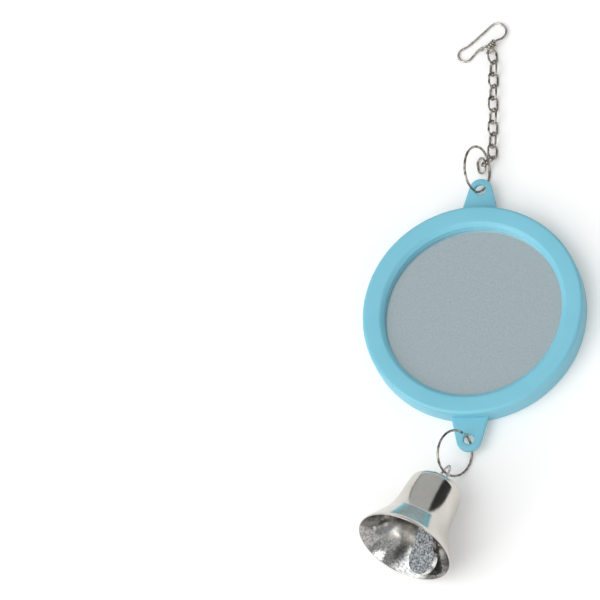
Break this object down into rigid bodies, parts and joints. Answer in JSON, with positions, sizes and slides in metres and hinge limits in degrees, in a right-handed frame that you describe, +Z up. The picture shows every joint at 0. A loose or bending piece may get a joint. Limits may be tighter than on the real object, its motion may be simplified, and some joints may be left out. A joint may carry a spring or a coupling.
{
  "type": "bird mirror with bell",
  "caption": "Round plastic-framed bird mirror with a wire clip on a link chain at one end and a flared metal bell with a folded clapper at the other.",
  "frame": {"origin": "centre of the frame's flat back", "axes": "+Y towards the hook along the object's length, +Z up from the table, out of the mirror's face"},
  "size_m": [0.05, 0.1347, 0.0215],
  "materials": {
    "turquoise_plastic": "satin moulded",
    "mirror_glass": "silvered, finely grained",
    "nickel_wire": "bright nickel-plated wire",
    "polished_bell": "polished nickel plate",
    "raw_sheet": "rough stamped sheet"
  },
  "bodies": {
    "frame": {"mirror_frame": "turquoise_plastic", "mirror_disc": "mirror_glass"},
    "upper_ring": {"upper_jump_ring": "nickel_wire"},
    "link_01": {"chain_link_01": "nickel_wire"},
    "link_02": {"chain_link_02": "nickel_wire"},
    "link_03": {"chain_link_03": "nickel_wire"},
    "link_04": {"chain_link_04": "nickel_wire"},
    "link_05": {"chain_link_05": "nickel_wire"},
    "link_06": {"chain_link_06": "nickel_wire"},
    "link_07": {"chain_link_07": "nickel_wire"},
    "link_08": {"chain_link_08": "nickel_wire"},
    "link_09": {"chain_link_09": "nickel_wire"},
    "link_10": {"chain_link_10": "nickel_wire"},
    "link_11": {"chain_link_11": "nickel_wire"},
    "clip": {"spring_clip": "nickel_wire"},
    "lower_ring": {"lower_jump_ring": "nickel_wire"},
    "bell": {"bell_shell": "polished_bell", "bell_hanger": "nickel_wire"},
    "clapper": {"clapper": "raw_sheet"}
  },
  "joints": [
    {"name": "upper_ring_swing", "type": "hinge", "parent": "frame", "child": "upper_ring", "pos_m": [0, 0.02965, 0.00245], "axis": [0, 0, 1], "range_deg": [-60, 60]},
    {"name": "link_10_swing", "type": "hinge", "parent": "upper_ring", "child": "link_10", "pos_m": [0.00128, 0.03733, 0.00164], "axis": [-0.1728, 0.746, 0.6432], "range_deg": [-60, 60]},
    {"name": "link_11_swing", "type": "hinge", "parent": "link_10", "child": "link_11", "pos_m": [-0.00013, 0.03622, 0.00164], "axis": [-0.4184, 0.5355, -0.7336], "range_deg": [-30, 12]},
    {"name": "link_09_swing", "type": "hinge", "parent": "link_10", "child": "link_09", "pos_m": [0.0026, 0.03836, 0.00164], "axis": [-0.4184, 0.5355, -0.7336], "range_deg": [-6, 60]},
    {"name": "link_08_swing", "type": "hinge", "parent": "link_09", "child": "link_08", "pos_m": [0.00195, 0.04146, 0.00096], "axis": [0.7113, -0.1102, -0.6942], "range_deg": [-60, 60]},
    {"name": "link_07_swing", "type": "hinge", "parent": "link_08", "child": "link_07", "pos_m": [0.00185, 0.04438, 0.00109], "axis": [-0.7067, -0.0241, -0.7071], "range_deg": [-60, 60]},
    {"name": "link_06_swing", "type": "hinge", "parent": "link_07", "child": "link_06", "pos_m": [0.00175, 0.04729, 0.00109], "axis": [-0.7067, -0.0241, 0.7071], "range_deg": [-60, 60]},
    {"name": "link_05_swing", "type": "hinge", "parent": "link_06", "child": "link_05", "pos_m": [0.00165, 0.0502, 0.00109], "axis": [0.7067, 0.0241, 0.7071], "range_deg": [-60, 60]},
    {"name": "link_04_swing", "type": "hinge", "parent": "link_05", "child": "link_04", "pos_m": [0.00156, 0.05311, 0.00109], "axis": [0.7067, 0.0241, -0.7071], "range_deg": [-60, 60]},
    {"name": "link_03_swing", "type": "hinge", "parent": "link_04", "child": "link_03", "pos_m": [0.00146, 0.05601, 0.00109], "axis": [-0.7067, -0.0241, -0.7071], "range_deg": [-60, 60]},
    {"name": "link_02_swing", "type": "hinge", "parent": "link_03", "child": "link_02", "pos_m": [0.00136, 0.05892, 0.00109], "axis": [-0.7067, -0.0241, 0.7071], "range_deg": [-60, 60]},
    {"name": "link_01_swing", "type": "hinge", "parent": "link_02", "child": "link_01", "pos_m": [0.00126, 0.06183, 0.00109], "axis": [0.7067, 0.0241, 0.7071], "range_deg": [-60, 60]},
    {"name": "clip_swing", "type": "hinge", "parent": "link_01", "child": "clip", "pos_m": [0.00066, 0.06469, 0.00109], "axis": [0.6965, 0.1222, -0.7071], "range_deg": [-30, 30]},
    {"name": "lower_ring_swing", "type": "hinge", "parent": "frame", "child": "lower_ring", "pos_m": [0, -0.03025, 0.00245], "axis": [0, 0, 1], "range_deg": [-45, 60]},
    {"name": "bell_swing", "type": "hinge", "parent": "lower_ring", "child": "bell", "pos_m": [-0.00449, -0.03869, 0.00502], "axis": [-0.466, 0.2478, 0.8494], "range_deg": [-60, 60]},
    {"name": "clapper_swing", "type": "hinge", "parent": "bell", "child": "clapper", "pos_m": [-0.00679, -0.04494, 0.00684], "axis": [0.8944, -0.2147, 0.3923], "range_deg": [-56, 0]}
  ]
}
